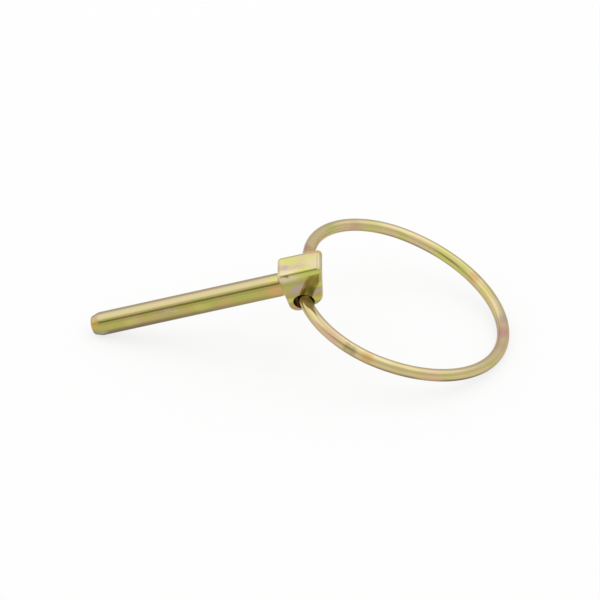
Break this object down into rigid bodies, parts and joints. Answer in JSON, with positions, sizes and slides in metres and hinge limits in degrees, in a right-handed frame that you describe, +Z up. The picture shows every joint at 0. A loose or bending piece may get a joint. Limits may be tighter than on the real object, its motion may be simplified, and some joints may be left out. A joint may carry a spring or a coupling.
{
  "type": "lynch pin",
  "caption": "Retaining pin with a plain round shank, a tapered nose and a forged eye-block head that carries a swinging wire pull ring, lying at rest.",
  "frame": {"origin": "centre of the lying part's box, on the ground", "axes": "+Z up; +X runs along the shank's line on the ground, from the nose to the head; +Y completes the frame, roughly along the eye"},
  "size_m": [0.105, 0.0636, 0.0303],
  "materials": {
    "pin_plating": "yellow passivated zinc plating, smooth and fairly glossy",
    "ring_plating": "yellow passivated zinc plating on bright drawn wire"
  },
  "bodies": {
    "pin": {"pin": "pin_plating"},
    "ring": {"ring": "ring_plating"}
  },
  "joints": [
    {"name": "ring_hinge", "type": "hinge", "parent": "pin", "child": "ring", "pos_m": [0.00099, -0.01214, 0.01776], "axis": [-0.1264, 0.933, 0.3371], "range_deg": [-210, 139]}
  ]
}
